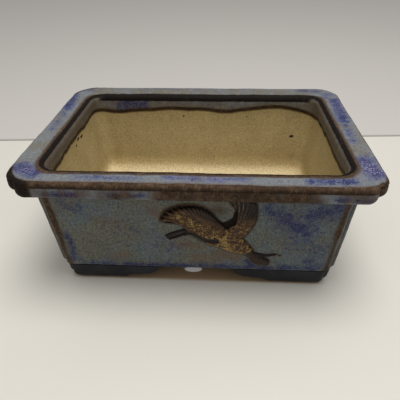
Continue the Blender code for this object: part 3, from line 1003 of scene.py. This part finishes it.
def crane_body(x, z, broad_net):
    depth = depth_inside(x, z, BODY)
    height = dome(depth, 4.5) * 2.1 + 0.35 * broad_net * smooth(depth, 0.2, 1.0)
    under_edge = smooth(x, 31.0, 26.0) * smooth(depth, 2.8, 0.6) * smooth(38.0 - z - 0.15 * x, 0.0, 4.0)
    gold = np.max((0.8 * broad_net, 0.9 * under_edge, 0.8 * shoulder_line(x, z)), axis=0)
    return depth, height, gold, 0.35 * (1 - broad_net)


def crane_head(x, z):
    depth = depth_inside(x, z, HEAD)
    throat = smooth(depth, 1.4, 0.4) * (x < 29.5) * (z < 27)
    return depth, 1.7 * dome(depth, 2.6), 0.6 * throat, np.full(x.shape, 0.6)


def crane_beak(x, z):
    depth = stroke_depth(x, z, BEAK, 1.2, 0.45)
    tip = 0.7 * smooth(x, 41.5, 44.0)
    return depth, dome(depth, 0.9), tip, 1 - tip


def crane_legs(x, z):
    depth = np.max([stroke_depth(x, z, leg, 1.15, 0.7) for leg in LEGS], axis=0)
    return depth, 0.9 * dome(depth, 0.9), np.zeros(x.shape), np.full(x.shape, 0.8)


def crane_fields():
    """Grid over the relief with its depth inside the outlines, its height and the two colour masks."""
    x, z = np.meshgrid(np.arange(-18.5, 48.5, CRANE_STEP / MM), np.arange(15.5, 64.0, CRANE_STEP / MM))
    broad_net = net(x, z, 2.3)
    parts = (spread_wing(x, z, net(x, z, 1.35)), raised_wing(x, z, broad_net), crane_body(x, z, broad_net),
             crane_head(x, z), crane_beak(x, z), crane_legs(x, z))
    depths, heights, golds, darks = (np.stack(values) for values in zip(*parts))
    depth = depths.max(axis=0)
    top = heights.argmax(axis=0)
    gold = np.choose(top, golds)
    # The fold is a groove where the spread wing meets the body; its black is painted shade.
    fold = smooth(stroke_depth(x, z, FOLD, 1.2, 1.6), -0.4, 0.6)
    raised = heights.max(axis=0) * (1 - 0.4 * fold)
    ripple = 0.1 * np.sin(2.1 * x + 0.9 * z) * np.sin(1.7 * z - 0.6 * x) * (depth > 0.3)
    height = np.where(depth > 0, raised, np.maximum(depth, -2.0) * 0.6) + ripple
    outline = smooth(depth, 0.7, 0.1) * (gold < 0.5)
    dark = np.max((np.choose(top, darks), fold, outline), axis=0)
    return x, z, depth, height, gold * (1 - fold), dark


def add_crane(material):
    """Mesh of the grid cells that the crane covers, standing off the leaning front wall."""
    x, z, depth, height, gold, dark = crane_fields()
    keep = depth > -0.9
    first, second = slice(None, -1), slice(1, None)
    corners = ((first, first), (first, second), (second, second), (second, first))
    cells = np.all([keep[corner] for corner in corners], axis=0)
    used = np.zeros(x.shape, bool)
    for corner in corners:
        used[corner] |= cells
    index = np.full(x.shape, -1)
    index[used] = np.arange(used.sum())
    quads = np.stack([index[corner] for corner in corners], axis=-1)[cells]
    face = -(RIM_B - wall_inset(z[used] * MM))
    points = np.column_stack((x[used] * MM, face - height[used] * MM, z[used] * MM))
    crane = object_from("flying_crane", points, quads, material, {"gold": gold[used], "dark": dark[used]})
    placed(crane, "relief", "crane_relief")


# ---- stage, light and camera

CAMERA_PLACE = (0.01297, -0.21095, 0.17188)
CAMERA_DOWN = 35.185                # degrees below level
CAMERA_LEFT = 3.607                 # degrees to the left of +Y
CAMERA_ROLL = -0.860
CAMERA_LENS = 35.75
SHEET_EDGE = 135.5 * MM             # where the pale table gives way to a grey sheet behind it
SHEET_SLOPE = 0.055
HALF_STAGE = 3.0
# Painted patch of light on the table below the pot's front edge, glowing faintly
LIGHT_PATCH_CENTRE = (-2.5 * MM, -39.762 * MM)
LIGHT_PATCH_RADII = (5 * MM, 2.381 * MM)
LIGHT_PATCH_GLOW = 0.12
WARM_WHITE = (1.0, 0.975, 0.93)
LAMP_PLACE = (0.09, -0.07, 0.85)
LAMP_SIZE = 0.50
LAMP_POWER = 4.5
# Strength of the surround against the height of the direction
SURROUND = {"From Min": 0.0, "From Max": 0.9, "To Min": 0.19, "To Max": 0.60}


def oval(g, values, centre, radii):
    """Squared distance from the middle of an oval on the table: 1 on the oval itself."""
    parts = []
    for value, middle, radius in zip(values, centre, radii):
        offset = g.maths("MULTIPLY_ADD", value, 1 / radius, -middle / radius)
        parts.append(g.maths("POWER", offset, 2.0))
    return g.maths("ADD", *parts)


def add_stage():
    """Pale table, a grey sheet behind it with a painted shadow line at its edge, and painted brown shade
    and a faintly glowing painted patch of light below the pot.
    """
    g = Graph("pale_table", 0.5)
    haze = g.noise(0.12, 2.0, 0.5, seed=12.0)
    parts = g.node("SeparateXYZ")
    g.put(parts.inputs[0], g.place)
    x, y = parts.outputs["X"], parts.outputs["Y"]
    colour = g.mix(haze, (0.73, 0.715, 0.665), (0.76, 0.745, 0.70))

    depth = g.maths("MULTIPLY_ADD", x, -SHEET_SLOPE, y)
    colour = g.mix(g.ramp(depth, SHEET_EDGE, SHEET_EDGE + 1 * MM), colour, (0.62, 0.60, 0.585))
    # Painted shadow line just behind the table's far edge, where it meets the sheet.
    front_of_shadow_line = g.ramp(depth, SHEET_EDGE - 1 * MM, SHEET_EDGE)
    back_of_shadow_line = g.ramp(depth, SHEET_EDGE + 5 * MM, SHEET_EDGE)
    line = g.maths("MULTIPLY", front_of_shadow_line, back_of_shadow_line)
    colour = g.tint(colour, line, 0.8, (0.20, 0.19, 0.18))

    # Painted brown shade on the table under the pot.
    shade_x = g.ramp(g.maths("ABSOLUTE", x), FOOT_CORNER.x, FOOT_CORNER.x - 12 * MM)
    shade_y = g.ramp(g.maths("ABSOLUTE", y), FOOT_CORNER.y, FOOT_CORNER.y - 3 * MM)
    colour = g.mix(g.maths("MULTIPLY", shade_x, shade_y), colour, (0.46, 0.33, 0.21))

    # Painted patch of light: white, and glowing faintly.
    light_patch = g.ramp(oval(g, (x, y), LIGHT_PATCH_CENTRE, LIGHT_PATCH_RADII), 1.3, 0.8)
    colour = g.mix(light_patch, colour, (1.0, 1.0, 1.0))
    g.put(g.shader.inputs["Emission Color"], g.grey(light_patch))
    g.shader.inputs["Emission Strength"].default_value = LIGHT_PATCH_GLOW
    material = g.finish(colour, g.span(haze, 0.42, 0.5))
    corners = ((-HALF_STAGE, -HALF_STAGE, 0), (HALF_STAGE, -HALF_STAGE, 0),
               (HALF_STAGE, HALF_STAGE, 0), (-HALF_STAGE, HALF_STAGE, 0))
    object_from("table_top", corners, [(0, 1, 2, 3)], material)


def add_light():
    """One large soft lamp above the pot, a little to the front and right."""
    data = bpy.data.lights.new("overhead", "AREA")
    data.shape = "DISK"
    data.size = LAMP_SIZE
    data.energy = LAMP_POWER
    data.color = WARM_WHITE
    lamp = new_object("overhead", data)
    lamp.location = LAMP_PLACE
    lamp.rotation_euler = (-Vector(LAMP_PLACE)).to_track_quat("-Z", "Y").to_euler()


def add_world():
    """Soft studio surround: bright overhead, dim towards the horizon."""
    world = bpy.data.worlds.new("studio")
    world.use_nodes = True
    tree = world.node_tree
    kinds = ("TexCoord", "SeparateXYZ", "MapRange")
    place, parts, height = (tree.nodes.new("ShaderNode" + kind) for kind in kinds)
    height.interpolation_type = "SMOOTHSTEP"
    for key, value in SURROUND.items():
        height.inputs[key].default_value = value
    tree.links.new(place.outputs["Generated"], parts.inputs[0])
    tree.links.new(parts.outputs["Z"], height.inputs["Value"])
    background = tree.nodes["Background"]
    background.inputs["Color"].default_value = (*WARM_WHITE, 1.0)
    tree.links.new(height.outputs[0], background.inputs["Strength"])
    bpy.context.scene.world = world


def add_camera():
    data = bpy.data.cameras.new("camera")
    data.lens = CAMERA_LENS
    data.sensor_width = 36.0
    data.clip_start = 0.01
    down, left = math.radians(CAMERA_DOWN), math.radians(CAMERA_LEFT)
    look = Vector((-math.sin(left) * math.cos(down), math.cos(left) * math.cos(down), -math.sin(down)))
    camera = new_object("camera", data)
    camera.location = CAMERA_PLACE
    roll = Quaternion((0, 0, 1), math.radians(CAMERA_ROLL))
    camera.rotation_euler = (look.to_track_quat("-Z", "Y") @ roll).to_euler()
    bpy.context.scene.camera = camera


def main():
    bpy.context.scene.view_settings.view_transform = "Standard"
    add_camera()
    add_world()
    add_light()
    add_stage()
    add_lip(glaze_material("lip_glaze", **LIP_GLAZE))
    add_walls(glaze_material("wall_glaze", **WALL_GLAZE))
    add_clay(clay_material())
    add_feet(foot_material())
    add_crane(crane_material())


main()
